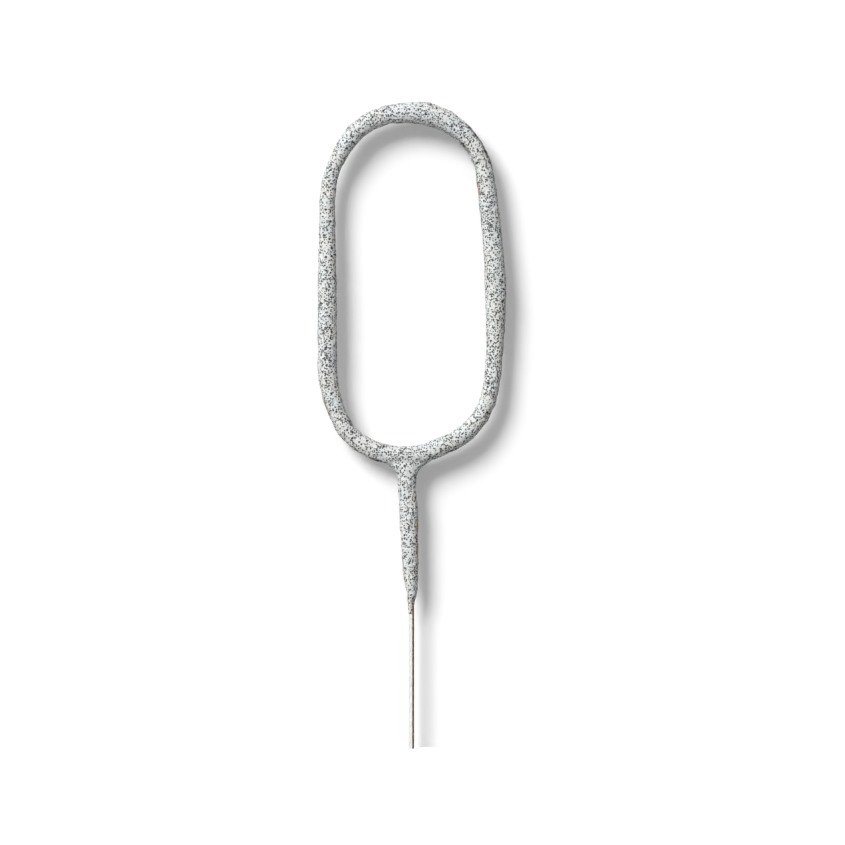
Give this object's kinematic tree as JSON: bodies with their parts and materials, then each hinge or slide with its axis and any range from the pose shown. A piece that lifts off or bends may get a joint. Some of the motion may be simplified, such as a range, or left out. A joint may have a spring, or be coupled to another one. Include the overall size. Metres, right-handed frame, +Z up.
{
  "type": "sparkler",
  "caption": "Hand-held or cake sparkler bent as the figure zero: steel wire dipped in grey spark mixture, with a bare straight leg to hold or stick in.",
  "frame": {"origin": "middle of the wire's cut lower end", "axes": "+Z up the straight leg to the figure, +X to the figure's right as it is read, +Y through the figure to its back"},
  "size_m": [0.0451, 0.0056, 0.1552],
  "materials": {
    "bare_wire": "drawn steel wire, smooth, with a thin brown tarnish",
    "spark_mixture": "dried slurry, matt, grainy, with dark pores"
  },
  "bodies": {
    "root": {"core_wire": "bare_wire", "spark_coat": "spark_mixture"}
  },
  "joints": []
}
